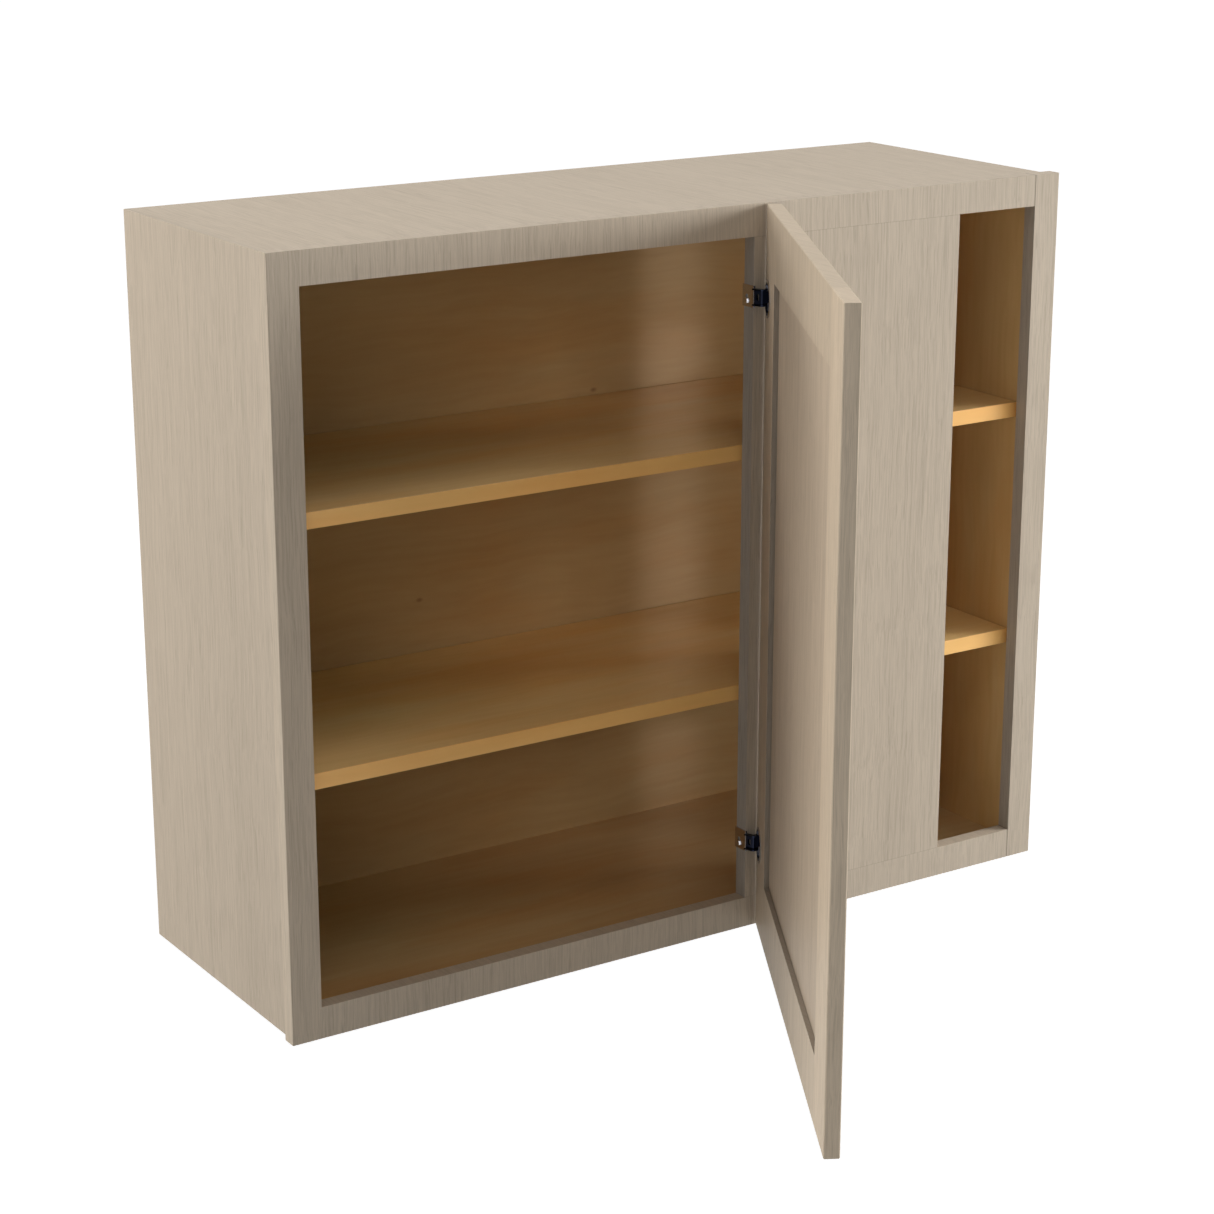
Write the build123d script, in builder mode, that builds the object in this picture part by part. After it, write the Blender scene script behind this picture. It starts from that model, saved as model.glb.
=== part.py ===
from build123d import *
from math import cos, hypot, radians, sin
import os

# A hanging wall cabinet for a blind corner, in millimetres. X runs to the right, Y back to the
# wall and Z up. The origin is on the cabinet's back, midway along the face frame, level with the
# wall screws. The door is built where it stands open.

# Face frame
cabinet_height = 762.0
cabinet_depth = 304.8
frame_thickness = 16.0
outer_stile_width = 31.75
rail_height = 32.5
door_opening_width = 498.475
blind_stile_width = 260.35
blind_opening_width = 101.6
frame_overhang = 12.7            # the right stile runs this far past the right side panel
frame_drop = 6.0                 # the frame hangs this far below the floor panel
frame_edge_radius = 0.8
tenon_length = 9.0
tenon_thickness = 6.0
tenon_setback = 4.0              # wood in front of a tenon
tenon_shoulder = 5.0             # wood above and below a tenon
joint_clearance = 0.2            # glue room at the end and on the sides of a joint

# Carcass panels
panel_thickness = 12.7
back_thickness = 4.8
dado_depth = 6.0                 # seats of the top, floor and back panels in the side panels
tongue_thickness = 6.35          # tongues on the panels' front edges, in grooves in the frame
tongue_length = 4.5
tongue_stop = 15.0               # the grooves stop short of the frame's ends
hanging_rail_height = 69.85
hanging_rail_thickness = 12.7
wall_screw_spacing = 406.4
wall_screw_hole_radius = 2.5

# Shelves, on four clips each
shelf_thickness = 16.0
shelf_band_thickness = 1.0
shelf_setback = 4.9              # behind the face frame
shelf_end_clearance = 1.6
shelf_back_clearance = 1.5
bottom_bay_height = 226.5
middle_bay_height = 238.5
clip_radius = 2.5
clip_hole_depth = 9.0
clip_hole_clearance = 0.05
clip_tongue_thickness = 1.6
clip_tongue_length = 9.0
clip_tongue_width = 10.0
clip_inset = 40.0                # from the shelf's front and back edges

# Door
door_thickness = 15.0
door_stile_width = 68.5
door_rail_width = 67.0
door_panel_thickness = 5.0
door_recess = 5.0                # from the door's inner face to its panel
door_groove_depth = 9.5
door_groove_clearance = 0.15
door_panel_float = 1.0           # room for the panel to swell in its grooves
door_tongue_setback = 6.0        # the rails' tongues stop short of the door's top and bottom
door_reveal = 1.2                # the frame shows this much above and below the closed door
hinge_overlay = 22.5             # the closed door covers this much of the blind stile
latch_overlay = 6.0              # and this much of the left stile
door_edge_chamfer = 0.8
door_open_angle = 60.5

# Hinges: a cup in the door carries a pin, and the arm fixed to the blind stile turns on it
upper_hinge_drop = 90.5          # from the door's top
lower_hinge_rise = 95.5          # from the door's bottom
pin_inset = 6.5                  # from the door's hinge edge
pin_depth = 6.0                  # from the door's inner face
pin_radius = 1.25
pin_end_chamfer = 0.2
pin_running_clearance = 0.05
pin_seat_clearance = 0.02
swing_clearance = 0.35           # between the door's turning edge and the frame
cup_bore_radius = 17.5
cup_bore_inset = 3.0             # wood between the cup's bore and the door's edge
cup_bore_clearance = 0.1
cup_depth = 11.4
cup_wall = 1.0
cup_bottom_chamfer = 1.0
rim_width = 1.6
rim_thickness = 1.2
rim_edge_chamfer = 0.4
cheek_radius = 3.6
cheek_clearance = 0.3
arm_thickness = 1.6
knuckle_radius = 2.1
knuckle_height = 11.6
neck_height = 17.0
neck_dip = 0.5                   # the neck runs this much deeper in the cup than the pin
neck_clearance = 0.6             # between the neck's ribs and the cup's floor
rim_clearance = 1.5              # the neck widens once it is this far clear of the cup's rim
neck_side = 3.5                  # from the blind stile's edge to the neck's elbow
rib_thickness = 1.4
window_length = 5.0
window_height = 6.5
plate_height = 22.0
plate_lead = 0.6                 # the plate stands this far in front of the frame
lip_reach = 4.0                  # the plate's rear lip, behind the blind stile
lip_clearance = 0.25
bend_radius = 1.0
slot_length = 9.0
slot_width = 4.4
slot_drop = 2.8                  # below the plate's middle
slot_setback = 9.4               # behind the frame's front
screw_head_radius = 3.0
screw_head_height = 1.5
screw_head_chamfer = 0.8
screw_shank_radius = 1.6
screw_length = 16.0
screw_hole_clearance = 0.05

# Places that follow from the sizes
frame_width = 2 * outer_stile_width + door_opening_width + blind_stile_width + blind_opening_width
frame_left = -frame_width / 2
frame_right = frame_width / 2
frame_front = -cabinet_depth
frame_back = frame_front + frame_thickness
frame_top = panel_thickness + hanging_rail_height / 2
frame_bottom = frame_top - cabinet_height
frame_depth = (frame_front, frame_back)
opening_top = frame_top - rail_height
opening_bottom = frame_bottom + rail_height
door_opening_left = frame_left + outer_stile_width
door_opening_right = door_opening_left + door_opening_width
blind_opening_left = door_opening_right + blind_stile_width
blind_opening_right = blind_opening_left + blind_opening_width

box_left = frame_left
box_right = frame_right - frame_overhang
box_bottom = frame_bottom + frame_drop
inner_left = box_left + panel_thickness
inner_right = box_right - panel_thickness
floor_top = box_bottom + panel_thickness
ceiling = frame_top - panel_thickness
back_front = -back_thickness
tongue_inset = (panel_thickness - tongue_thickness) / 2

lower_shelf_bottom = floor_top + bottom_bay_height
upper_shelf_bottom = lower_shelf_bottom + shelf_thickness + middle_bay_height
shelf_front = frame_back + shelf_setback
shelf_back = back_front - shelf_back_clearance

door_width = door_opening_width + hinge_overlay + latch_overlay
door_height = cabinet_height - 2 * door_reveal
door_bottom = frame_bottom + door_reveal
closed_gap = hypot(pin_inset, pin_depth) - pin_depth + swing_clearance
pin_x = door_opening_right + hinge_overlay - pin_inset
pin_y = frame_front - closed_gap - pin_depth
cup_inset = cup_bore_inset + cup_bore_radius
cup_radius = cup_bore_radius - cup_bore_clearance
cup_inner_radius = cup_radius - cup_wall
cheek_start = knuckle_height / 2 + cheek_clearance
hinge_heights = {
    "upper": door_bottom + door_height - upper_hinge_drop,
    "lower": door_bottom + lower_hinge_rise,
}

# The door's own plane: x from its hinge edge, y from its inner face outwards, z up from its bottom
turn_cos = cos(radians(door_open_angle))
turn_sin = sin(radians(door_open_angle))
door_plane = Plane(
    origin=(
        pin_x + pin_inset * turn_cos - pin_depth * turn_sin,
        pin_y + pin_inset * turn_sin + pin_depth * turn_cos,
        door_bottom,
    ),
    x_dir=(-turn_cos, -turn_sin, 0),
    z_dir=(0, 0, 1),
)
door_across = Axis(door_plane.origin, door_plane.x_dir)


def block(x, y, z, mode=Mode.ADD):
    """A rectangular block between two limits on each axis of the part being built."""
    with Locations(((x[0] + x[1]) / 2, (y[0] + y[1]) / 2, (z[0] + z[1]) / 2)):
        return Box(x[1] - x[0], y[1] - y[0], z[1] - z[0], mode=mode)


def widened(span, amount):
    """A pair of limits moved apart by the same amount at each end."""
    return (span[0] - amount, span[1] + amount)


# Face frame -------------------------------------------------------------------------------------

tenon_y = (frame_front + tenon_setback, frame_front + tenon_setback + tenon_thickness)
top_tenon_z = (opening_top + tenon_shoulder, frame_top - tenon_shoulder)
bottom_tenon_z = (frame_bottom + tenon_shoulder, opening_bottom - tenon_shoulder)
blind_tenon_x = (door_opening_right + tenon_shoulder, blind_opening_left - tenon_shoulder)
side_tongue_z = (box_bottom + tongue_stop, frame_top - tongue_stop)
panel_tongue_x = (door_opening_left + tongue_stop, blind_opening_right - tongue_stop)
top_tongue_z = (ceiling + tongue_inset, ceiling + tongue_inset + tongue_thickness)
floor_tongue_z = (box_bottom + tongue_inset, box_bottom + tongue_inset + tongue_thickness)
tongue_y = (frame_back - tongue_length, frame_back)
groove_y = (frame_back - tongue_length - joint_clearance, frame_back)


def outer_stile(left, inner_edge, tongue_left):
    """A full-height stile, with mortises for both rails and a groove for the side panel."""
    toward_middle = 1 if inner_edge > left else -1
    mortise_end = inner_edge - toward_middle * (tenon_length + joint_clearance)
    mortise_x = (min(inner_edge, mortise_end), max(inner_edge, mortise_end))
    with BuildPart() as stile:
        block((left, left + outer_stile_width), frame_depth, (frame_bottom, frame_top))
        outer_side = stile.faces().sort_by(Axis.X)[0 if toward_middle > 0 else -1]
        fillet(outer_side.edges().filter_by(Axis.Z).sort_by(Axis.Y)[0], frame_edge_radius)
        for tenon_z in (top_tenon_z, bottom_tenon_z):
            block(mortise_x, widened(tenon_y, joint_clearance / 2), tenon_z, Mode.SUBTRACT)
        groove_x = widened((tongue_left, tongue_left + tongue_thickness), joint_clearance / 2)
        block(groove_x, groove_y, widened(side_tongue_z, joint_clearance), Mode.SUBTRACT)
    return stile


def frame_rail(rail_z, tenon_z, tongue_z, opening_side):
    """A rail between the outer stiles, with a mortise for the blind stile's tenon."""
    with BuildPart() as rail:
        block((door_opening_left, blind_opening_right), frame_depth, rail_z)
        block(widened((door_opening_left, blind_opening_right), tenon_length), tenon_y, tenon_z)
        inner_edge = rail_z[0] if opening_side < 0 else rail_z[1]
        mortise_end = inner_edge - opening_side * (tenon_length + joint_clearance)
        mortise_z = (min(inner_edge, mortise_end), max(inner_edge, mortise_end))
        block(blind_tenon_x, widened(tenon_y, joint_clearance / 2), mortise_z, Mode.SUBTRACT)
        groove_z = widened(tongue_z, joint_clearance / 2)
        block(widened(panel_tongue_x, joint_clearance), groove_y, groove_z, Mode.SUBTRACT)
    return rail


left_stile = outer_stile(frame_left, door_opening_left, box_left + tongue_inset)
right_stile = outer_stile(blind_opening_right, blind_opening_right, inner_right + tongue_inset)
top_rail = frame_rail((opening_top, frame_top), top_tenon_z, top_tongue_z, -1)
bottom_rail = frame_rail((frame_bottom, opening_bottom), bottom_tenon_z, floor_tongue_z, 1)

# The wide stile between the two openings carries the hinges
with BuildPart() as blind_stile:
    block((door_opening_right, blind_opening_left), frame_depth, (opening_bottom, opening_top))
    block(blind_tenon_x, tenon_y, widened((opening_bottom, opening_top), tenon_length))
    for height in hinge_heights.values():
        screw_z = height - slot_drop - (slot_length - slot_width) / 2
        screw_place = (door_opening_right, frame_front + slot_setback, screw_z)
        with BuildSketch(Plane(screw_place, x_dir=(0, 1, 0), z_dir=(1, 0, 0))):
            Circle(screw_shank_radius + screw_hole_clearance)
        extrude(amount=screw_length, mode=Mode.SUBTRACT)

# Carcass ----------------------------------------------------------------------------------------

clip_places_y = (shelf_front + clip_inset, shelf_back - clip_inset)
shelf_bottoms = (lower_shelf_bottom, upper_shelf_bottom)
clip_drop = clip_radius          # a clip's peg and tongue share their upper surface


def side_panel(outer_x, inner_x):
    """A side panel, with seats for the top, floor and back panels and holes for the shelf clips."""
    panel_x = (min(outer_x, inner_x), max(outer_x, inner_x))
    inward = 1 if inner_x > outer_x else -1
    seat_x = inner_x - inward * dado_depth
    seat = (min(seat_x, inner_x), max(seat_x, inner_x))
    tongue_x = (panel_x[0] + tongue_inset, panel_x[0] + tongue_inset + tongue_thickness)
    with BuildPart() as panel:
        block(panel_x, (frame_back, 0), (box_bottom, frame_top))
        block(tongue_x, tongue_y, side_tongue_z)
        block(seat, (frame_back, 0), (box_bottom, floor_top), Mode.SUBTRACT)
        block(seat, (frame_back, 0), (ceiling, frame_top), Mode.SUBTRACT)
        block(seat, (back_front, 0), (box_bottom, frame_top), Mode.SUBTRACT)
        for shelf_bottom in shelf_bottoms:
            for clip_y in clip_places_y:
                hole_centre = (inner_x, clip_y, shelf_bottom - clip_drop)
                with BuildSketch(Plane(hole_centre, x_dir=(0, 1, 0), z_dir=(-inward, 0, 0))):
                    Circle(clip_radius + clip_hole_clearance)
                extrude(amount=clip_hole_depth, mode=Mode.SUBTRACT)
    return panel


def cross_panel(panel_z, tongue_z):
    """The top or the floor, between the side panels' seats and against the face frame."""
    with BuildPart() as panel:
        block(widened((inner_left, inner_right), dado_depth), (frame_back, back_front), panel_z)
        block(panel_tongue_x, tongue_y, tongue_z)
    return panel


left_side_panel = side_panel(box_left, inner_left)
right_side_panel = side_panel(box_right, inner_right)
top_panel = cross_panel((ceiling, frame_top), top_tongue_z)
bottom_panel = cross_panel((box_bottom, floor_top), floor_tongue_z)


def wall_screw_holes():
    """The outline of the wall screws' clearance holes, on the cabinet's back, facing forwards."""
    with BuildSketch(Plane((0, 0, 0), x_dir=(1, 0, 0), z_dir=(0, -1, 0))) as holes:
        with GridLocations(wall_screw_spacing, 0, 2, 1):
            Circle(wall_screw_hole_radius)
    return holes.sketch


with BuildPart() as back_panel:
    back_x = widened((inner_left, inner_right), dado_depth)
    block(back_x, (back_front, 0), (box_bottom, frame_top))
    extrude(wall_screw_holes(), amount=back_thickness, mode=Mode.SUBTRACT)

with BuildPart() as top_hanging_rail:
    rail_front = back_front - hanging_rail_thickness
    block((inner_left, inner_right), (rail_front, back_front), (ceiling - hanging_rail_height, ceiling))
    screw_depth = back_thickness + hanging_rail_thickness
    extrude(wall_screw_holes(), amount=screw_depth, mode=Mode.SUBTRACT)

# Shelves ----------------------------------------------------------------------------------------

shelf_x = (inner_left + shelf_end_clearance, inner_right - shelf_end_clearance)
band_y = (shelf_front, shelf_front + shelf_band_thickness)


def shelf(bottom):
    """A plain board behind its edge band."""
    with BuildPart() as board:
        block(shelf_x, (band_y[1], shelf_back), (bottom, bottom + shelf_thickness))
    return board


def shelf_edge_band(bottom):
    """The strip that finishes a shelf's front edge."""
    with BuildPart() as band:
        block(shelf_x, band_y, (bottom, bottom + shelf_thickness))
        fillet(band.faces().sort_by(Axis.Y)[0].edges().filter_by(Axis.X), shelf_band_thickness / 2)
    return band


lower_shelf = shelf(lower_shelf_bottom)
upper_shelf = shelf(upper_shelf_bottom)
lower_shelf_edge_band = shelf_edge_band(lower_shelf_bottom)
upper_shelf_edge_band = shelf_edge_band(upper_shelf_bottom)

# A clip is a round peg in the side panel and a flat tongue under the shelf
with BuildPart() as shelf_clips:
    for wall_x, inward in ((inner_left, 1), (inner_right, -1)):
        for shelf_bottom in shelf_bottoms:
            for clip_y in clip_places_y:
                peg_end = (wall_x - inward * clip_hole_depth, clip_y, shelf_bottom - clip_drop)
                with BuildSketch(Plane(peg_end, x_dir=(0, 1, 0), z_dir=(inward, 0, 0))):
                    Circle(clip_radius)
                extrude(amount=clip_hole_depth + clip_tongue_thickness)
                tongue_end = wall_x + inward * clip_tongue_length
                block(
                    (min(wall_x, tongue_end), max(wall_x, tongue_end)),
                    (clip_y - clip_tongue_width / 2, clip_y + clip_tongue_width / 2),
                    (shelf_bottom - clip_tongue_thickness, shelf_bottom),
                )

# Door -------------------------------------------------------------------------------------------

groove_depth_y = widened((door_recess, door_recess + door_panel_thickness), door_groove_clearance)
panel_depth_y = (door_recess, door_recess + door_panel_thickness)
door_inner_x = (door_stile_width, door_width - door_stile_width)
door_inner_z = (door_rail_width, door_height - door_rail_width)
groove_fill = door_groove_depth - door_panel_float


def ease_door_edges(piece, along, across, side):
    """Ease the two long edges of one of the door's outer sides."""
    outer_edges = piece.edges().filter_by(along).group_by(across)[0 if side < 0 else -1]
    chamfer(outer_edges, door_edge_chamfer)


def door_stile(stile_x, groove_x, side):
    """A full-height door stile, grooved for the panel and the rails."""
    with BuildPart(door_plane) as stile:
        block(stile_x, (0, door_thickness), (0, door_height))
        ease_door_edges(stile, Axis.Z, door_across, side)
        for end in (-1, 1):
            ease_door_edges(stile, door_across, Axis.Z, end)
        groove_stop = door_tongue_setback - joint_clearance
        groove_z = (groove_stop, door_height - groove_stop)
        block(groove_x, groove_depth_y, groove_z, Mode.SUBTRACT)
    return stile


def door_rail(rail_z, groove_z, side):
    """A door rail between the stiles, with a tongue at each end and a groove for the panel."""
    with BuildPart(door_plane) as rail:
        block(door_inner_x, (0, door_thickness), rail_z)
        ease_door_edges(rail, door_across, Axis.Z, side)
        tongue_z = (
            rail_z[0] + (side < 0) * door_tongue_setback,
            rail_z[1] - (side > 0) * door_tongue_setback,
        )
        block(widened(door_inner_x, groove_fill), panel_depth_y, tongue_z)
        block(widened(door_inner_x, groove_fill), groove_depth_y, groove_z, Mode.SUBTRACT)
    return rail


door_hinge_stile = door_stile(
    (0, door_inner_x[0]), (door_inner_x[0] - door_groove_depth, door_inner_x[0]), -1
)
door_latch_stile = door_stile(
    (door_inner_x[1], door_width), (door_inner_x[1], door_inner_x[1] + door_groove_depth), 1
)
door_top_rail = door_rail(
    (door_inner_z[1], door_height), (door_inner_z[1], door_inner_z[1] + door_groove_depth), 1
)
door_bottom_rail = door_rail(
    (0, door_inner_z[0]), (door_inner_z[0] - door_groove_depth, door_inner_z[0]), -1
)

with BuildPart(door_plane) as door_panel:
    block(widened(door_inner_x, groove_fill), panel_depth_y, widened(door_inner_z, groove_fill))

# Hinges -----------------------------------------------------------------------------------------


def cup_mouth(height):
    """The plane of a cup's mouth: x away from the hinge edge, y up, z out of the inner face."""
    centre = door_plane.from_local_coords((cup_inset, 0, height - door_bottom))
    return Plane(centre, x_dir=door_plane.x_dir, z_dir=-door_plane.y_dir)


def knuckle_plane(height):
    """The level plane through a hinge's middle, centred on its pin, lined up with the door."""
    return Plane((pin_x, pin_y, height), x_dir=door_plane.x_dir, z_dir=(0, 0, 1))


# The bores that hold the cups
for height in hinge_heights.values():
    with BuildSketch(cup_mouth(height)) as bore:
        Circle(cup_bore_radius)
    cutter = extrude(bore.sketch, amount=-(cup_depth + cup_bore_clearance), mode=Mode.PRIVATE)
    door_hinge_stile.part = door_hinge_stile.part - cutter


def hinge_cup(height):
    """A drawn cup with a rolled rim, two cheeks inside for the pin and a gap for the knuckle."""
    mouth = cup_mouth(height)
    section = Plane(mouth.origin, x_dir=mouth.x_dir, z_dir=-mouth.y_dir)
    level = knuckle_plane(height)
    cheek_drop = cup_depth - pin_depth
    with BuildPart() as cup:
        for side in (1, -1):
            with BuildSketch(level.offset(side * cheek_start)):
                Circle(cheek_radius)
                with Locations((0, cheek_drop / 2)):
                    Rectangle(2 * cheek_radius, cheek_drop)
            extrude(amount=side * (cup_radius - cheek_start))
        with BuildSketch(mouth.offset(rim_thickness)):
            Circle(cup_radius)
        extrude(amount=-(cup_depth - cup_bottom_chamfer + rim_thickness), mode=Mode.INTERSECT)
        with BuildSketch(section) as wall:
            with BuildLine():
                Polyline(
                    (0, -cup_depth),
                    (cup_radius, -cup_depth),
                    (cup_radius, 0),
                    (cup_radius + rim_width, 0),
                    (cup_radius + rim_width, rim_thickness),
                    (cup_inner_radius, rim_thickness),
                    (cup_inner_radius, cup_wall - cup_depth),
                    (0, cup_wall - cup_depth),
                    close=True,
                )
            make_face()
            outermost = wall.vertices().group_by(Axis.X)[-1]
            chamfer(outermost, rim_edge_chamfer)
            bottom_corner = wall.vertices().group_by(Axis.Y)[0].sort_by(Axis.X)[-1]
            chamfer(bottom_corner, cup_bottom_chamfer)
        revolve(axis=Axis(mouth.origin, mouth.z_dir))
        with BuildSketch(level.offset(-cheek_start)):
            notch_x = (cup_bore_inset - pin_inset, 0)
            notch_y = (-pin_depth - rim_thickness, knuckle_radius + cheek_clearance)
            with Locations(((notch_x[0] + notch_x[1]) / 2, (notch_y[0] + notch_y[1]) / 2)):
                Rectangle(notch_x[1] - notch_x[0], notch_y[1] - notch_y[0])
        extrude(amount=2 * cheek_start, mode=Mode.SUBTRACT)
        with BuildSketch(level.offset(-pin_half_length)):
            Circle(pin_radius + pin_seat_clearance)
        extrude(amount=2 * pin_half_length, mode=Mode.SUBTRACT)
    return cup


# The pin reaches across both cheeks, within the cup's inner wall
pin_half_length = (cup_inner_radius**2 - (cup_inset - pin_inset) ** 2) ** 0.5


def hinge_pin(height):
    """A pin across the cheeks, with broken ends."""
    with BuildPart() as pin:
        with BuildSketch(knuckle_plane(height).offset(-pin_half_length)):
            Circle(pin_radius)
        extrude(amount=2 * pin_half_length)
        chamfer(pin.edges().filter_by(GeomType.CIRCLE), pin_end_chamfer)
    return pin


def hinge_arm(height):
    """One bent strip: a knuckle on the pin, a ribbed neck, and a plate on the stile's edge."""
    middle_x = door_opening_right - arm_thickness / 2
    elbow = (door_opening_right + neck_side, pin_y - neck_dip)
    plate_front = (middle_x, frame_front - plate_lead)
    plate_back = (middle_x, frame_back + lip_clearance + arm_thickness / 2)
    lip_end = (door_opening_right + lip_reach, plate_back[1])
    neck_back = frame_front - plate_lead - bend_radius
    neck_right = pin_x - pin_depth - rim_thickness - rim_clearance
    rib_depth = cup_depth - cup_wall - pin_depth - neck_dip - neck_clearance
    rib_slope = (plate_front[0] - elbow[0]) / (plate_front[1] - elbow[1])
    rib_back = (elbow[0] + rib_slope * (neck_back - elbow[1]), neck_back)
    above = (neck_height / 2, plate_height / 2)
    front_zone = (elbow[1] - rib_depth - arm_thickness, neck_back)
    with BuildPart() as arm:
        with BuildSketch(Plane.XY.offset(height - plate_height / 2)):
            with BuildLine():
                FilletPolyline(
                    (pin_x, pin_y), elbow, plate_front, plate_back, lip_end, radius=bend_radius
                )
            trace(line_width=arm_thickness)
        extrude(amount=plate_height)
        for side in (1, -1):
            above_neck = sorted((height + side * above[0], height + side * above[1]))
            past_end = (door_opening_right - 2 * lip_reach, pin_x + cheek_radius)
            block(past_end, front_zone, above_neck, Mode.SUBTRACT)
            above_knuckle = sorted(
                (height + side * knuckle_height / 2, height + side * plate_height / 2)
            )
            block((neck_right, past_end[1]), front_zone, above_knuckle, Mode.SUBTRACT)
            rib_top = height + side * neck_height / 2
            with BuildSketch(Plane.XY.offset(rib_top)):
                with BuildLine():
                    Polyline(
                        (neck_right, elbow[1]),
                        elbow,
                        rib_back,
                        (rib_back[0] - rib_depth, rib_back[1]),
                        (elbow[0] - rib_depth, elbow[1] - rib_depth / 2),
                        (elbow[0] - rib_depth / 2, elbow[1] - rib_depth),
                        (neck_right, elbow[1] - rib_depth),
                        close=True,
                    )
                make_face()
            extrude(amount=-side * rib_thickness)
        with BuildSketch(Plane.XY.offset(height - knuckle_height / 2)):
            with Locations((pin_x, pin_y)):
                Circle(knuckle_radius)
        extrude(amount=knuckle_height)
        with BuildSketch(Plane.XY.offset(height - knuckle_height / 2)):
            with Locations((pin_x, pin_y)):
                Circle(pin_radius + pin_running_clearance)
        extrude(amount=knuckle_height, mode=Mode.SUBTRACT)
        side_view = Plane((0, frame_front, height), x_dir=(0, 1, 0), z_dir=(1, 0, 0))
        with BuildSketch(side_view.offset(door_opening_right - 2 * arm_thickness)):
            with Locations(((elbow[1] + neck_back) / 2 - frame_front, 0)):
                SlotOverall(window_height, window_length / 2, rotation=90)
            with Locations((slot_setback, -slot_drop)):
                SlotOverall(slot_length, slot_width, rotation=90)
        extrude(amount=2 * arm_thickness + neck_side, mode=Mode.SUBTRACT)
    return arm


upper_hinge_cup = hinge_cup(hinge_heights["upper"])
lower_hinge_cup = hinge_cup(hinge_heights["lower"])
upper_hinge_pin = hinge_pin(hinge_heights["upper"])
lower_hinge_pin = hinge_pin(hinge_heights["lower"])
upper_hinge_arm = hinge_arm(hinge_heights["upper"])
lower_hinge_arm = hinge_arm(hinge_heights["lower"])

# One cheese-headed screw at the foot of each plate's slot
with BuildPart() as hinge_plate_screws:
    for height in hinge_heights.values():
        screw_z = height - slot_drop - (slot_length - slot_width) / 2
        head_seat = (door_opening_right - arm_thickness, frame_front + slot_setback, screw_z)
        with BuildSketch(Plane(head_seat, x_dir=(0, 1, 0), z_dir=(-1, 0, 0))):
            Circle(screw_head_radius)
        head = extrude(amount=screw_head_height)
        chamfer(head.faces().sort_by(Axis.X)[0].edges(), screw_head_chamfer)
        with BuildSketch(Plane(head_seat, x_dir=(0, 1, 0), z_dir=(1, 0, 0))):
            Circle(screw_shank_radius)
        extrude(amount=screw_length)

# Output -----------------------------------------------------------------------------------------

pieces = {
    "left_stile": left_stile,
    "right_stile": right_stile,
    "top_rail": top_rail,
    "bottom_rail": bottom_rail,
    "blind_stile": blind_stile,
    "left_side_panel": left_side_panel,
    "right_side_panel": right_side_panel,
    "top_panel": top_panel,
    "bottom_panel": bottom_panel,
    "back_panel": back_panel,
    "top_hanging_rail": top_hanging_rail,
    "lower_shelf": lower_shelf,
    "upper_shelf": upper_shelf,
    "lower_shelf_edge_band": lower_shelf_edge_band,
    "upper_shelf_edge_band": upper_shelf_edge_band,
    "shelf_clips": shelf_clips,
    "door_hinge_stile": door_hinge_stile,
    "door_latch_stile": door_latch_stile,
    "door_top_rail": door_top_rail,
    "door_bottom_rail": door_bottom_rail,
    "door_panel": door_panel,
    "upper_hinge_cup": upper_hinge_cup,
    "lower_hinge_cup": lower_hinge_cup,
    "upper_hinge_pin": upper_hinge_pin,
    "lower_hinge_pin": lower_hinge_pin,
    "upper_hinge_arm": upper_hinge_arm,
    "lower_hinge_arm": lower_hinge_arm,
    "hinge_plate_screws": hinge_plate_screws,
}

os.makedirs("parts", exist_ok=True)
for name, piece in pieces.items():
    piece.part.label = name
    export_step(piece.part, f"parts/{name}.step")
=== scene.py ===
"""Looks for the hanging wall cabinet: wood and metal finishes, light, floor and camera."""
import math

import bpy
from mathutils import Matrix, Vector


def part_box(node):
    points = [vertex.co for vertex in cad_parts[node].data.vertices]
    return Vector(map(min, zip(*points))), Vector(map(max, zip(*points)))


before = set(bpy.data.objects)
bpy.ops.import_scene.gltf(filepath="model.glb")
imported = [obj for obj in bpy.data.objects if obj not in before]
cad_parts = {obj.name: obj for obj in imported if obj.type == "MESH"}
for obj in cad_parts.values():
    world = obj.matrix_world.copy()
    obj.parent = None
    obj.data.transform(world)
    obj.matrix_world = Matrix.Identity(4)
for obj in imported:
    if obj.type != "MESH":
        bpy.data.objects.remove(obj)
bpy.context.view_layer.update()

# Places, in metres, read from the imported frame
FRAME_LOW, FRAME_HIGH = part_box("left_stile")
LEFT_PANEL_LOW, LEFT_PANEL_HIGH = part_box("left_side_panel")
RIGHT_PANEL_LOW, RIGHT_PANEL_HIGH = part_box("right_side_panel")
TOP_LOW, TOP_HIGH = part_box("top_panel")
FLOOR_LOW, FLOOR_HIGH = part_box("bottom_panel")
BACK_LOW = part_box("back_panel")[0]
RIGHT_STILE_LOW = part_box("right_stile")[0]
TOP_RAIL_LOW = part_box("top_rail")[0]
BOTTOM_RAIL_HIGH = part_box("bottom_rail")[1]
FRAME_BACK = FRAME_HIGH[1]

# Grain directions, as the object axis that the grain runs along
ALONG_X, ALONG_Y, ALONG_Z = 0, 1, 2

# The cabinet's directions
RIGHTWARD, UPWARD = Vector((1.0, 0.0, 0.0)), Vector((0.0, 0.0, 1.0))
REARWARD = Vector((0.0, 1.0, 0.0))

# The door's own directions, where the part is built 60.5 degrees open: the way its inner face looks,
# and from its hinge edge to its latch edge
DOOR_OPENING = math.radians(60.5)
DOOR_INWARD = Vector((-math.sin(DOOR_OPENING), math.cos(DOOR_OPENING), 0.0))
DOOR_ACROSS = Vector((-math.cos(DOOR_OPENING), -math.sin(DOOR_OPENING), 0.0))

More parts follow.
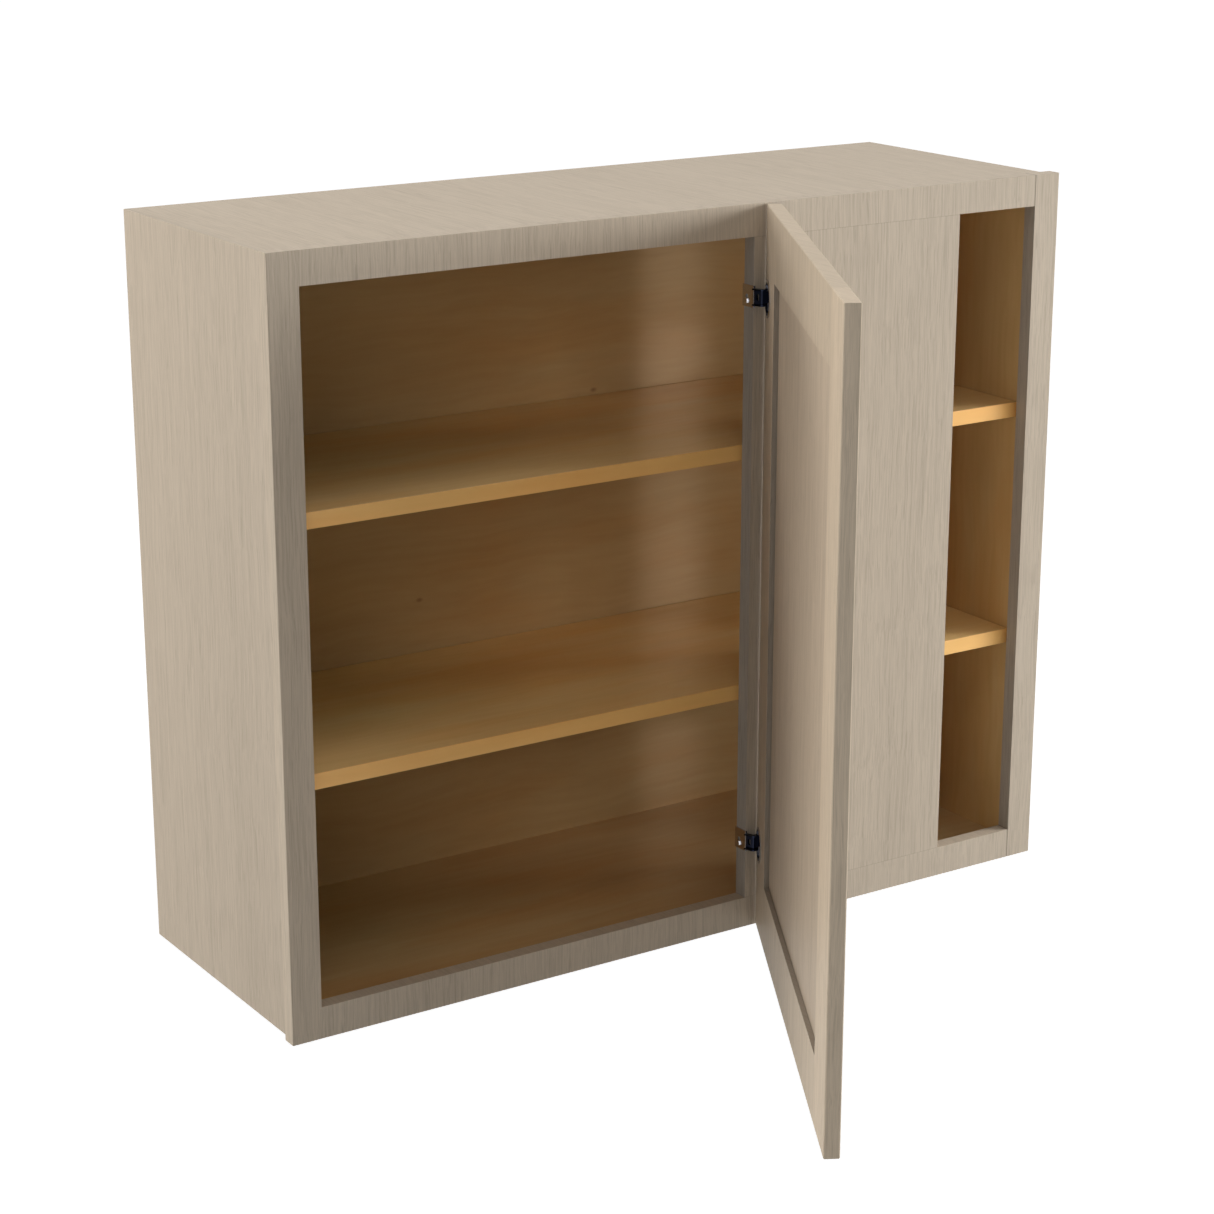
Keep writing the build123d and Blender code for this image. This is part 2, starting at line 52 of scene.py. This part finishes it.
# Wood finishes: linear colours of the ground and of the fine dark grain lines on it
GREIGE = ((0.590, 0.498, 0.394), (0.360, 0.300, 0.232))
# painted shade: the left side's greige, darker than the frame's
SIDE_GREIGE = ((0.549, 0.463, 0.368), (0.345, 0.288, 0.224))
# painted light: the door's greige, lighter than the frame's
DOOR_GREIGE = ((0.640, 0.529, 0.404), (0.392, 0.319, 0.237))
# painted light: the latch stile's greige, lighter again, where most light reaches the door
LATCH_GREIGE = ((0.700, 0.577, 0.440), (0.429, 0.349, 0.260))
# painted shade: the recessed panel's greige, darker than the door's frame
PANEL_GREIGE = ((0.593, 0.485, 0.372), (0.375, 0.300, 0.226))
MAPLE = ((0.800, 0.575, 0.282), (0.682, 0.468, 0.214))
BACK_MAPLE = ((0.624, 0.426, 0.206), (0.528, 0.345, 0.157))
# painted shade: the upper shelf's maple, darker than the lower shelf's
UPPER_SHELF_MAPLE = ((0.848, 0.600, 0.290), (0.742, 0.507, 0.230))
# painted light: the lower shelf's maple, lighter than the upper shelf's
LOWER_SHELF_MAPLE = ((0.965, 0.684, 0.314), (0.854, 0.580, 0.251))
# painted shade: the left panel's inner maple, far darker than the other maple
SHADED_LEFT_MAPLE = ((0.488, 0.294, 0.136), (0.414, 0.241, 0.107))
FLOOR_MAPLE = ((0.630, 0.440, 0.230), (0.547, 0.368, 0.182))
BAND_MAPLE = ((0.985, 0.590, 0.206), (0.905, 0.524, 0.170))
LEVEL_MAPLES = (UPPER_SHELF_MAPLE, LOWER_SHELF_MAPLE, FLOOR_MAPLE)
PANEL_SKIN = 0.0004       # how deep a carcass panel's maple face goes

# Grain
LEVEL_GRAIN = 0.7         # greige grain shows this much on a level face
LEVEL_FACE = 0.75         # a face is level where its normal is this upright or more
WANDER_SCALE, RIPPLE_SCALE = 7.0, 42.0
BUMP_STRENGTH = 0.6

# Lacquer on maple, which is glossier on upright boards than on level ones
AMBER_LACQUER = (1.0, 0.66, 0.38)
UPRIGHT_GLOSS, LEVEL_GLOSS = 0.76, 0.26

# Tints that multiply the maple's colour: a blush, and painted shade as an olive cast, towards the left on
# upright boards and darker at the rear left on level ones. The shade starts at an edge and is full after a
# fade.
MAPLE_BLUSH = (1.0, 0.90, 0.80)
LEFT_SHADE_TINT, LEFT_SHADE_EDGE, LEFT_SHADE_FADE = (0.88, 1.01, 1.14), 0.06, 0.22
REAR_LEFT_SHADE_TINT, REAR_SHADE_EDGE, REAR_SHADE_FADE = (0.80, 0.92, 0.98), -0.25, 0.10
KNOT_COLOUR, KNOT_STRENGTH, KNOT_SCALE = (0.16, 0.07, 0.025), 0.6, 12.0

# Dark lines where boards meet, and painted shadow lines along the door's panel: how dark, how wide, and
# how strong at each place
JOINT_AND_SHADOW_TONE = 0.45
SEAM_WIDTH = 0.0009
RIGHT_SEAM_WIDTH = 2.2 * SEAM_WIDTH
RIGHT_SEAM, LEFT_SEAM, RAIL_SEAM, PANEL_SHADOW_STRENGTH = 1.0, 0.30, 0.35, 0.70
PANEL_SHADOW_WIDTH = 0.0035      # how far a painted shadow line reaches onto the door's panel from its frame

# Painted shade: tints that darken the faces that look into a recess or an opening
PAINTED_RECESS_SHADE = (0.56, 0.57, 0.60)
PAINTED_OPENING_SHADE = (0.80, 0.85, 0.93)
RECESS_FACE = 0.65        # a face looks a way where its normal goes this far along it

# Metals
NICKEL = (0.66, 0.66, 0.68)
# painted reflection: the arm's neck is nickel like its plate, painted near-black as a dark reflection
PAINTED_DARK_REFLECTION = (0.020, 0.024, 0.042)
# painted shade: the cup's hollow, nickel painted darker
SHADED_CUP_NICKEL = (0.36, 0.37, 0.42)
ZINC = (0.60, 0.61, 0.63)
METAL_CLOUD_SHADE = 0.80  # the darker patches on a metal, as a share of its colour
RIM_DEPTH = 0.0025        # how far the bright rim of a hinge cup reaches down from its top; below it the nickel is painted darker as painted shade
NECK_START = 0.0019       # how far in front of the frame's face an arm's painted dark reflection begins, on its neck

# Surroundings
HANGING_HEIGHT = 1.37     # the cabinet's underside above the floor
FLOOR_SIZE = 120.0
FLOOR_GREY = 0.74
GLOW_DISTANCE = 10.0      # the floor's glow is set by the distance in units of this
WORLD_LIGHT = 0.05
LAMP_DISTANCE = 3.5
LAMP_SIZE = 1.1
WARM = (1.0, 0.985, 0.955)
COOL = (0.965, 0.985, 1.0)

# The camera, fitted to the cabinet's corners in the photograph. Its place is from the face frame's
# low left front corner.
CAMERA_PLACE = Vector((-1.0918, -2.2247, 1.1773))
CAMERA_DIRECTION = Vector((0.52281, 0.80239, -0.28780))
CAMERA_LENS = 83.68
CAMERA_SENSOR = 36.0


class Shader:
    """A small helper that adds and links the nodes of a material or a world."""

    def __init__(self, owner, output="ShaderNodeOutputMaterial"):
        self.owner = owner
        owner.use_nodes = True
        self.tree = owner.node_tree
        self.tree.nodes.clear()
        self.surface = self.add(output).inputs["Surface"]

    def add(self, kind, **settings):
        node = self.tree.nodes.new(kind)
        for key, value in settings.items():
            setattr(node, key, value)
        return node

    def link(self, source, target):
        self.tree.links.new(source, target)

    def feed(self, socket, value):
        """Gives a socket a number or a colour, or links it to another node's output."""
        if isinstance(value, (int, float)):
            socket.default_value = value
        elif isinstance(value, tuple):
            socket.default_value = (*value, 1.0)
        else:
            self.link(value, socket)

    def math(self, operation, *values, clamp=False):
        node = self.add("ShaderNodeMath", operation=operation, use_clamp=clamp)
        for socket, value in zip(node.inputs, values):
            self.feed(socket, value)
        return node.outputs[0]

    def total(self, first, *others):
        """Adds values up, and holds their sum between 0 and 1."""
        for other in others:
            first = self.math("ADD", first, other, clamp=True)
        return first

    def noise(self, vector, scale, detail, roughness=0.55):
        node = self.add("ShaderNodeTexNoise")
        node.inputs["Scale"].default_value = scale
        node.inputs["Detail"].default_value = detail
        node.inputs["Roughness"].default_value = roughness
        self.link(vector, node.inputs["Vector"])
        return node.outputs["Fac"]

    def ramp(self, value, stops):
        node = self.add("ShaderNodeValToRGB")
        for element, (position, shade) in zip(node.color_ramp.elements, stops):
            element.position = position
            element.color = (shade, shade, shade, 1.0)
        self.link(value, node.inputs[0])
        return node.outputs[0]

    def mix(self, factor, first, second, blend="MIX"):
        node = self.add("ShaderNodeMix", data_type="RGBA", blend_type=blend)
        sockets = (node.inputs[0], node.inputs[6], node.inputs[7])
        for socket, value in zip(sockets, (factor, first, second)):
            self.feed(socket, value)
        return node.outputs[2]

    def choose(self, condition, where_not, where_so):
        """One surface where a condition is 0, and another where it is 1."""
        node = self.add("ShaderNodeMixShader")
        for socket, source in zip(node.inputs, (condition, where_not, where_so)):
            self.link(source, socket)
        return node.outputs[0]


def new_material(name):
    """A helper for a new material of that name."""
    return Shader(bpy.data.materials.new(name))


def along(shader, output, direction):
    """How far a texture coordinate lies along a direction."""
    product = shader.add("ShaderNodeVectorMath", operation="DOT_PRODUCT")
    product.inputs[1].default_value = direction
    shader.link(shader.add("ShaderNodeTexCoord").outputs[output], product.inputs[0])
    return product.outputs["Value"]


def fade(shader, direction, start, span):
    """Rises from 0 to 1 along a direction, over a span that begins at a start."""
    past = shader.math("SUBTRACT", along(shader, "Object", direction), start)
    return shader.math("DIVIDE", past, span, clamp=True)


def grain_vector(shader, axis, stretch, offset, wander=0.0, ripple=0.0):
    """Object coordinates drawn out along the grain and shifted from board to board, the lines wandering
    slowly and rippling finely."""
    coordinates = shader.add("ShaderNodeTexCoord").outputs["Object"]
    shift = shader.add("ShaderNodeMapping", vector_type="POINT")
    shift.inputs["Location"].default_value = offset
    shader.link(coordinates, shift.inputs["Vector"])
    for frequency, amount in ((WANDER_SCALE, wander), (RIPPLE_SCALE, ripple)):
        if not amount:
            continue
        drift = shader.add("ShaderNodeTexNoise")
        drift.inputs["Scale"].default_value = frequency
        drift.inputs["Detail"].default_value = 1.5
        shader.link(shift.outputs[0], drift.inputs["Vector"])
        centred = shader.add("ShaderNodeVectorMath", operation="SUBTRACT")
        centred.inputs[1].default_value = (0.5, 0.5, 0.5)
        shader.link(drift.outputs["Color"], centred.inputs[0])
        scaled = shader.add("ShaderNodeVectorMath", operation="SCALE")
        scaled.inputs["Scale"].default_value = amount
        shader.link(centred.outputs[0], scaled.inputs[0])
        moved = shader.add("ShaderNodeVectorMath", operation="ADD")
        shader.link(coordinates, moved.inputs[0])
        shader.link(scaled.outputs[0], moved.inputs[1])
        coordinates = moved.outputs[0]
    mapping = shader.add("ShaderNodeMapping", vector_type="POINT")
    scale = [1.0, 1.0, 1.0]
    scale[axis] = stretch
    mapping.inputs["Scale"].default_value = scale
    mapping.inputs["Location"].default_value = offset
    shader.link(coordinates, mapping.inputs["Vector"])
    return mapping.outputs[0]


def grain_layer(shader, vector, scale, detail, dark, clear, share, roughness=0.55):
    """One layer of grain: its whole share where its noise is below dark, and none where it is above
    clear."""
    noise = shader.noise(vector, scale, detail, roughness)
    return shader.math("MULTIPLY", shader.ramp(noise, ((dark, 1.0), (clear, 0.0))), share)


def greige_grain(shader, axis, offset):
    """How dark the greige finish's grain is, from 0 on its ground to 1 in its lines and flecks."""
    long_grain = grain_vector(shader, axis, 0.016, offset, wander=0.010, ripple=0.0018)
    short_grain = grain_vector(shader, axis, 0.09, offset, wander=0.010, ripple=0.0018)
    lines = grain_layer(
        shader, long_grain, 560.0, detail=3.0, dark=0.38, clear=0.54, share=0.28, roughness=0.70
    )
    hairs = grain_layer(shader, long_grain, 1000.0, detail=1.0, dark=0.36, clear=0.52, share=0.24)
    bands = grain_layer(shader, long_grain, 90.0, detail=2.0, dark=0.32, clear=0.66, share=0.13)
    clouds = grain_layer(shader, short_grain, 9.0, detail=2.0, dark=0.30, clear=0.70, share=0.12)
    flecks = grain_layer(shader, short_grain, 190.0, detail=1.0, dark=0.20, clear=0.26, share=0.30)
    return shader.total(lines, hairs, bands, clouds, flecks)


def maple_grain(shader, axis, colours, offset, upright=False):
    """Maple: an even golden ground, faintly streaked and mottled, with painted shade as an olive cast
    towards the left. An upright board has a few pin knots, and no blush where the painted shade lies. On a
    level board the painted shade lies only at the rear, and is darker."""
    long_grain = grain_vector(shader, axis, 0.045, offset, wander=0.03)
    mottle = grain_vector(shader, axis, 0.45, offset)
    streaks = grain_layer(shader, long_grain, 150.0, detail=2.0, dark=0.30, clear=0.66, share=0.34)
    bands = grain_layer(shader, long_grain, 24.0, detail=2.0, dark=0.32, clear=0.68, share=0.26)
    blotches = grain_layer(shader, mottle, 16.0, detail=2.0, dark=0.30, clear=0.70, share=0.30)
    depth = shader.total(streaks, bands, blotches)
    ground, line = colours
    colour = shader.mix(depth, ground, line)
    blush_noise = shader.noise(grain_vector(shader, axis, 0.22, offset), 13.0, detail=4.0)
    blush = shader.ramp(blush_noise, ((0.46, 0.0), (0.66, 1.0)))
    # painted shade: an olive cast that grows towards the left
    left_shade = fade(shader, -RIGHTWARD, LEFT_SHADE_EDGE, LEFT_SHADE_FADE)
    if upright:
        blush = shader.math("MULTIPLY", blush, shader.math("SUBTRACT", 1.0, left_shade))
        colour = shader.mix(blush, colour, MAPLE_BLUSH, "MULTIPLY")
        colour = shader.mix(left_shade, colour, LEFT_SHADE_TINT, "MULTIPLY")
        colour = maple_knots(shader, colour, offset)
    else:
        # on a level board the painted shade lies only at the rear left, and is darker
        rear = fade(shader, REARWARD, REAR_SHADE_EDGE, REAR_SHADE_FADE)
        left_shade = shader.math("MULTIPLY", left_shade, rear)
        colour = shader.mix(blush, colour, MAPLE_BLUSH, "MULTIPLY")
        colour = shader.mix(left_shade, colour, REAR_LEFT_SHADE_TINT, "MULTIPLY")
    return colour, shader.math("SUBTRACT", 1.0, depth)


def maple_knots(shader, colour, offset):
    """A few pin knots, small and dark, scattered thinly over maple."""
    spots = shader.add("ShaderNodeTexVoronoi", feature="F1")
    spots.inputs["Scale"].default_value = KNOT_SCALE
    shader.link(grain_vector(shader, ALONG_X, 0.6, offset), spots.inputs["Vector"])
    core = shader.ramp(spots.outputs["Distance"], ((0.012, 1.0), (0.040, 0.0)))
    return shader.mix(shader.math("MULTIPLY", core, KNOT_STRENGTH), colour, KNOT_COLOUR)


def joint_and_shadow_lines(shader, colour, joints_and_shadows):
    """Dark lines where a board meets its neighbour, and painted shadow lines along the edges of the door's
    panel. Each line has a direction, its place along that direction, a strength and a width."""
    shade = tuple(channel * JOINT_AND_SHADOW_TONE for channel in GREIGE[1])
    for direction, place, strength, width in joints_and_shadows:
        distance = shader.math("SUBTRACT", along(shader, "Object", direction), place)
        share = shader.math("DIVIDE", shader.math("ABSOLUTE", distance), width)
        nearness = shader.math("SUBTRACT", 1.0, share, clamp=True)
        colour = shader.mix(shader.math("MULTIPLY", nearness, strength), colour, shade)
    return colour


def wood_surface(shader, colour, height, roughness, specular, depth, tint=(1.0, 1.0, 1.0)):
    """The surface of a wood finish, rougher in its grain and with a fine bump from it."""
    principled = shader.add("ShaderNodeBsdfPrincipled")
    principled.inputs["Specular IOR Level"].default_value = specular
    principled.inputs["Specular Tint"].default_value = (*tint, 1.0)
    shader.link(colour, principled.inputs["Base Color"])
    grain_roughness = shader.math("MULTIPLY_ADD", height, -0.10, roughness + 0.05)
    shader.link(grain_roughness, principled.inputs["Roughness"])
    bump = shader.add("ShaderNodeBump")
    bump.inputs["Distance"].default_value = depth
    bump.inputs["Strength"].default_value = BUMP_STRENGTH
    shader.link(height, bump.inputs["Height"])
    shader.link(bump.outputs[0], principled.inputs["Normal"])
    return principled.outputs[0]


def greige_surface(shader, offset, colours=GREIGE, joints_and_shadows=(), shaded_faces=(), shade=PAINTED_RECESS_SHADE):
    """Greige wood, with upright grain on upright faces and grain from front to back on level ones. Faces
    that look the way of a recess are painted darker, as painted shade."""
    levelness = shader.math("ABSOLUTE", along(shader, "Normal", UPWARD))
    is_level = shader.math("GREATER_THAN", levelness, LEVEL_FACE)
    upright = greige_grain(shader, ALONG_Z, offset)
    level = shader.math("MULTIPLY", greige_grain(shader, ALONG_Y, offset), LEVEL_GRAIN)
    depth = shader.mix(is_level, upright, level)
    ground, line = colours
    colour = joint_and_shadow_lines(shader, shader.mix(depth, ground, line), joints_and_shadows)
    # painted shade on the faces that look into a recess
    for direction in shaded_faces:
        is_wall = shader.math("GREATER_THAN", along(shader, "Normal", direction), RECESS_FACE)
        colour = shader.mix(is_wall, colour, shade, "MULTIPLY")
    height = shader.math("SUBTRACT", 1.0, depth)
    return wood_surface(shader, colour, height, roughness=0.55, specular=0.08, depth=0.00008)


def maple_surface(shader, axis, offset, colours=MAPLE):
    """Lacquered maple, glossier on the upright boards than on the shelves and the floor."""
    upright = colours not in LEVEL_MAPLES
    colour, height = maple_grain(shader, axis, colours, offset, upright)
    gloss = UPRIGHT_GLOSS if upright else LEVEL_GLOSS
    return wood_surface(
        shader, colour, height, roughness=0.18, specular=gloss, depth=0.000006, tint=AMBER_LACQUER
    )


def reach(node, direction):
    """The furthest that a node's mesh goes along a direction."""
    return max(vertex.co.dot(direction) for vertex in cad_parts[node].data.vertices)


def board_offset(name):
    """A shift of the grain that differs from board to board and stays the same from run to run."""
    seed = sum(ord(letter) * (place + 3) for place, letter in enumerate(name))
    return (seed % 17 * 0.37, seed % 23 * 0.29, seed % 13 * 0.41)


def paint(node, shader, surface):
    """Ends a material in its surface, and gives it to a CAD node in every slot that it has."""
    shader.link(surface, shader.surface)
    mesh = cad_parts[node].data
    if not mesh.materials:
        mesh.materials.append(shader.owner)
    for slot in range(len(mesh.materials)):
        mesh.materials[slot] = shader.owner


def greige_board(node, colours=GREIGE, joints_and_shadows=(), shaded_faces=(), shade=PAINTED_RECESS_SHADE):
    """A board that is greige all over."""
    shader = new_material(f"{node}_greige")
    paint(node, shader, greige_surface(shader, board_offset(node), colours, joints_and_shadows, shaded_faces, shade))


def maple_board(node, colours=MAPLE):
    """A board that is maple all over, with its grain along the cabinet's width."""
    shader = new_material(f"{node}_maple")
    paint(node, shader, maple_surface(shader, ALONG_X, board_offset(node), colours))


def two_faced_board(node, grain_axis, side_axis, limit, maple_above, colours=MAPLE, outer=GREIGE):
    """A carcass panel: greige outside, and maple on the side of a limit that faces the inside."""
    shader = new_material(f"{node}_two_faced")
    outside = greige_surface(shader, board_offset(node), outer)
    inside = maple_surface(shader, grain_axis, board_offset(node), colours)
    past_limit = "GREATER_THAN" if maple_above else "LESS_THAN"
    is_inside = shader.math(past_limit, object_coordinate(shader, side_axis), limit)
    paint(node, shader, shader.choose(is_inside, outside, inside))


def object_coordinate(shader, axis):
    """A point's place along one axis of the frame."""
    separate = shader.add("ShaderNodeSeparateXYZ")
    shader.link(shader.add("ShaderNodeTexCoord").outputs["Object"], separate.inputs[0])
    return separate.outputs[axis]


def edge_band(node):
    """The bright strip on a shelf's front."""
    shader = new_material(f"{node}_band")
    colour, height = maple_grain(shader, ALONG_X, BAND_MAPLE, board_offset(node))
    strip = wood_surface(shader, colour, height, roughness=0.34, specular=0.45, depth=0.00002)
    paint(node, shader, strip)


def metal_surface(shader, colour, roughness, scratch, offset):
    """Plated steel, with faint handling marks in its gloss."""
    principled = shader.add("ShaderNodeBsdfPrincipled")
    principled.inputs["Metallic"].default_value = 1.0
    wear = shader.noise(grain_vector(shader, ALONG_Z, 0.4, offset), 420.0, detail=4.0)
    cloud = shader.noise(grain_vector(shader, ALONG_Z, 1.0, offset), 90.0, detail=2.0)
    darker = tuple(channel * METAL_CLOUD_SHADE for channel in colour)
    shader.link(shader.mix(cloud, darker, colour), principled.inputs["Base Color"])
    worn_roughness = shader.math("MULTIPLY_ADD", wear, scratch, roughness - scratch / 2)
    shader.link(worn_roughness, principled.inputs["Roughness"])
    return principled.outputs[0]


def metal(node, colour, roughness, scratch):
    """A piece that is one metal all over."""
    shader = new_material(f"{node}_metal")
    paint(node, shader, metal_surface(shader, colour, roughness, scratch, board_offset(node)))


def hinge_arm_metal(node):
    """A bright plate on the stile's edge, and a neck in front of the frame painted near-black as a painted
    dark reflection.
    """
    shader = new_material(f"{node}_metal")
    plate = metal_surface(shader, NICKEL, roughness=0.14, scratch=0.06, offset=board_offset(node))
    neck = metal_surface(shader, PAINTED_DARK_REFLECTION, roughness=0.16, scratch=0.08, offset=board_offset(node))
    # painted dark reflection on the neck
    is_neck = shader.math("LESS_THAN", object_coordinate(shader, 1), FRAME_LOW[1] - NECK_START)
    paint(node, shader, shader.choose(is_neck, plate, neck))


def hinge_cup_metal(node):
    """A bright rim on the door's inner face, and below it a hollow whose nickel is painted darker as
    painted shade.
    """
    shader = new_material(f"{node}_metal")
    rim = metal_surface(shader, NICKEL, roughness=0.16, scratch=0.06, offset=board_offset(node))
    # painted shade in the cup's hollow
    shaded_hollow = metal_surface(shader, SHADED_CUP_NICKEL, roughness=0.42, scratch=0.10, offset=board_offset(node))
    rim_foot = reach(node, DOOR_INWARD) - RIM_DEPTH
    is_rim = shader.math("GREATER_THAN", along(shader, "Object", DOOR_INWARD), rim_foot)
    paint(node, shader, shader.choose(is_rim, shaded_hollow, rim))


def finish_face_frame():
    """The stiles and rails in front, with dark lines where they meet, and painted shade on the stiles'
    faces that look into the openings.
    """
    right_seam = (RIGHTWARD, RIGHT_STILE_LOW[0], RIGHT_SEAM, RIGHT_SEAM_WIDTH)
    left_seam = (RIGHTWARD, FRAME_HIGH[0], LEFT_SEAM, SEAM_WIDTH)
    rail_edges = (TOP_RAIL_LOW[2], BOTTOM_RAIL_HIGH[2])
    rail_seams = [(UPWARD, height, RAIL_SEAM, SEAM_WIDTH) for height in rail_edges]
    # painted shade on the faces of the stiles that look into the openings
    opening = {"shaded_faces": (-RIGHTWARD,), "shade": PAINTED_OPENING_SHADE}
    greige_board("left_stile")
    greige_board("right_stile", **opening)
    greige_board("top_rail", joints_and_shadows=(left_seam, right_seam))
    greige_board("bottom_rail", joints_and_shadows=(left_seam, right_seam))
    greige_board("blind_stile", joints_and_shadows=rail_seams, **opening)


def finish_carcass():
    """The panels, which are maple inside, and the shelves and the hanging rail."""
    left_limit = LEFT_PANEL_HIGH[0] - PANEL_SKIN
    right_limit = RIGHT_PANEL_LOW[0] + PANEL_SKIN
    top_limit = TOP_LOW[2] + PANEL_SKIN
    floor_limit = FLOOR_HIGH[2] - PANEL_SKIN
    back_limit = BACK_LOW[1] + PANEL_SKIN
    # painted shade: the left panel's darker inner maple
    left_looks = {"colours": SHADED_LEFT_MAPLE, "outer": SIDE_GREIGE}
    two_faced_board("left_side_panel", ALONG_Z, 0, left_limit, maple_above=True, **left_looks)
    two_faced_board("right_side_panel", ALONG_Z, 0, right_limit, maple_above=False)
    two_faced_board("top_panel", ALONG_X, 2, top_limit, maple_above=False)
    two_faced_board("bottom_panel", ALONG_X, 2, floor_limit, maple_above=True, colours=FLOOR_MAPLE)
    two_faced_board("back_panel", ALONG_X, 1, back_limit, maple_above=False, colours=BACK_MAPLE)
    maple_board("top_hanging_rail")
    maple_board("lower_shelf", LOWER_SHELF_MAPLE)
    maple_board("upper_shelf", UPPER_SHELF_MAPLE)
    edge_band("lower_shelf_edge_band")
    edge_band("upper_shelf_edge_band")


def finish_door():
    """The door's frame and panel, with upright grain throughout, and painted shade where they meet: on the
    frame's faces that look into the recess, and in a line along the panel's edges.
    """
    shaded_walls = {
        "door_hinge_stile": (DOOR_ACROSS, -DOOR_ACROSS),
        "door_latch_stile": (-DOOR_ACROSS,),
        "door_bottom_rail": (UPWARD,),
        "door_top_rail": (-UPWARD,),
    }
    lines = []
    for node, directions in shaded_walls.items():
        colours = LATCH_GREIGE if node == "door_latch_stile" else DOOR_GREIGE
        greige_board(node, colours, shaded_faces=directions)
        # painted shadow: a dark line on the panel along each recess wall
        lines.append((directions[0], reach(node, directions[0]), PANEL_SHADOW_STRENGTH, PANEL_SHADOW_WIDTH))
    greige_board("door_panel", PANEL_GREIGE, joints_and_shadows=lines)


def finish_hardware():
    """Hinges, screws and shelf clips."""
    for level in ("upper", "lower"):
        hinge_arm_metal(f"{level}_hinge_arm")
        hinge_cup_metal(f"{level}_hinge_cup")
        metal(f"{level}_hinge_pin", ZINC, roughness=0.30, scratch=0.10)
    metal("hinge_plate_screws", NICKEL, roughness=0.18, scratch=0.08)
    metal("shelf_clips", ZINC, roughness=0.35, scratch=0.10)


def show_or_light(shader, seen, lighting):
    """Shows one surface to the camera, to reflections and through glass, and another to the light."""
    rays = shader.add("ShaderNodeLightPath").outputs
    is_seen = rays["Is Camera Ray"]
    for ray in ("Is Glossy Ray", "Is Transmission Ray"):
        is_seen = shader.math("MAXIMUM", is_seen, rays[ray])
    shader.link(shader.choose(is_seen, lighting, seen), shader.surface)


def white_background(shader, strength):
    """A white surround of a strength."""
    background = shader.add("ShaderNodeBackground")
    background.inputs["Strength"].default_value = strength
    background.inputs["Color"].default_value = (1.0, 1.0, 1.0, 1.0)
    return background.outputs[0]


def set_world():
    """A white surround, which adds only a little light of its own."""
    world = bpy.data.worlds.new("surround")
    shader = Shader(world, "ShaderNodeOutputWorld")
    show_or_light(shader, white_background(shader, 1.0), white_background(shader, WORLD_LIGHT))
    bpy.context.scene.world = world


def add_floor():
    """A plain pale floor, as far below the cabinet as such a cabinet hangs, white in the distance."""
    floor_height = LEFT_PANEL_LOW[2] - HANGING_HEIGHT
    bpy.ops.mesh.primitive_plane_add(size=FLOOR_SIZE, location=(0, 0, floor_height))
    floor = bpy.context.object
    floor.name = "floor"
    shader = new_material("pale_floor")
    matte = shader.add("ShaderNodeBsdfDiffuse")
    matte.inputs["Color"].default_value = (FLOOR_GREY, FLOOR_GREY, FLOOR_GREY, 1.0)
    distance = shader.add("ShaderNodeVectorMath", operation="LENGTH")
    shader.link(shader.add("ShaderNodeTexCoord").outputs["Object"], distance.inputs[0])
    share = shader.math("DIVIDE", distance.outputs["Value"], GLOW_DISTANCE)
    glow = shader.add("ShaderNodeEmission")
    shader.link(shader.ramp(share, ((0.20, 0.62), (0.50, 1.0))), glow.inputs["Color"])
    both = shader.add("ShaderNodeAddShader")
    shader.link(matte.outputs[0], both.inputs[0])
    shader.link(glow.outputs[0], both.inputs[1])
    show_or_light(shader, both.outputs[0], matte.outputs[0])
    floor.data.materials.append(shader.owner)


def add_softbox(name, bearing, elevation, strength, colour):
    """A soft square lamp aimed at the cabinet's middle; bearings run rightwards from straight in front."""
    across = (FRAME_LOW[0] + RIGHT_PANEL_HIGH[0]) / 2
    middle = Vector((across, FRAME_BACK, (TOP_HIGH[2] + FLOOR_LOW[2]) / 2))
    around = math.radians(bearing)
    above = math.radians(elevation)
    level = math.cos(above)
    toward = Vector((math.sin(around) * level, -math.cos(around) * level, math.sin(above)))
    light = bpy.data.lights.new(name, "AREA")
    light.shape = "SQUARE"
    light.size = LAMP_SIZE
    light.energy = strength
    light.color = colour
    lamp = bpy.data.objects.new(name, light)
    lamp.location = middle + toward * LAMP_DISTANCE
    lamp.rotation_euler = (-toward).to_track_quat("-Z", "Y").to_euler()
    bpy.context.scene.collection.objects.link(lamp)


def add_lights():
    """Soft lamps all round, strongest low at the right and high at the left. Their strengths, in watts,
    began as a least-squares match of renders to the photograph. They were then rounded, and some were
    changed."""
    add_softbox("left_rear_high", -150, 65, 8.0, WARM)
    add_softbox("left_high", -105, 50, 37.0, WARM)
    add_softbox("left_rear_middle", -135, 20, 20.0, WARM)
    add_softbox("left_rear_low", -120, 5, 29.5, WARM)
    add_softbox("left_low", -105, 5, 13.0, WARM)
    add_softbox("left_front_high", -75, 40, 5.0, COOL)
    add_softbox("left_front_low", -45, 10, 9.0, COOL)
    add_softbox("front_high", -15, 58, 9.0, COOL)
    add_softbox("front_right_low", 20, 10, 16.5, COOL)
    add_softbox("right_front_low", 40, 9, 24.5, COOL)
    add_softbox("right_low", 60, 15, 58.5, COOL)
    add_softbox("right_high", 75, 55, 30.0, WARM)


def add_camera():
    """A long lens in front of the cabinet, high and to its left."""
    camera_data = bpy.data.cameras.new("camera")
    camera_data.sensor_width = CAMERA_SENSOR
    camera_data.lens = CAMERA_LENS
    camera = bpy.data.objects.new("camera", camera_data)
    camera.location = FRAME_LOW + CAMERA_PLACE
    camera.rotation_euler = CAMERA_DIRECTION.to_track_quat("-Z", "Y").to_euler()
    bpy.context.scene.collection.objects.link(camera)
    bpy.context.scene.camera = camera


finish_face_frame()
finish_carcass()
finish_door()
finish_hardware()
add_floor()
set_world()
add_lights()
add_camera()
bpy.context.scene.view_settings.view_transform = "Standard"
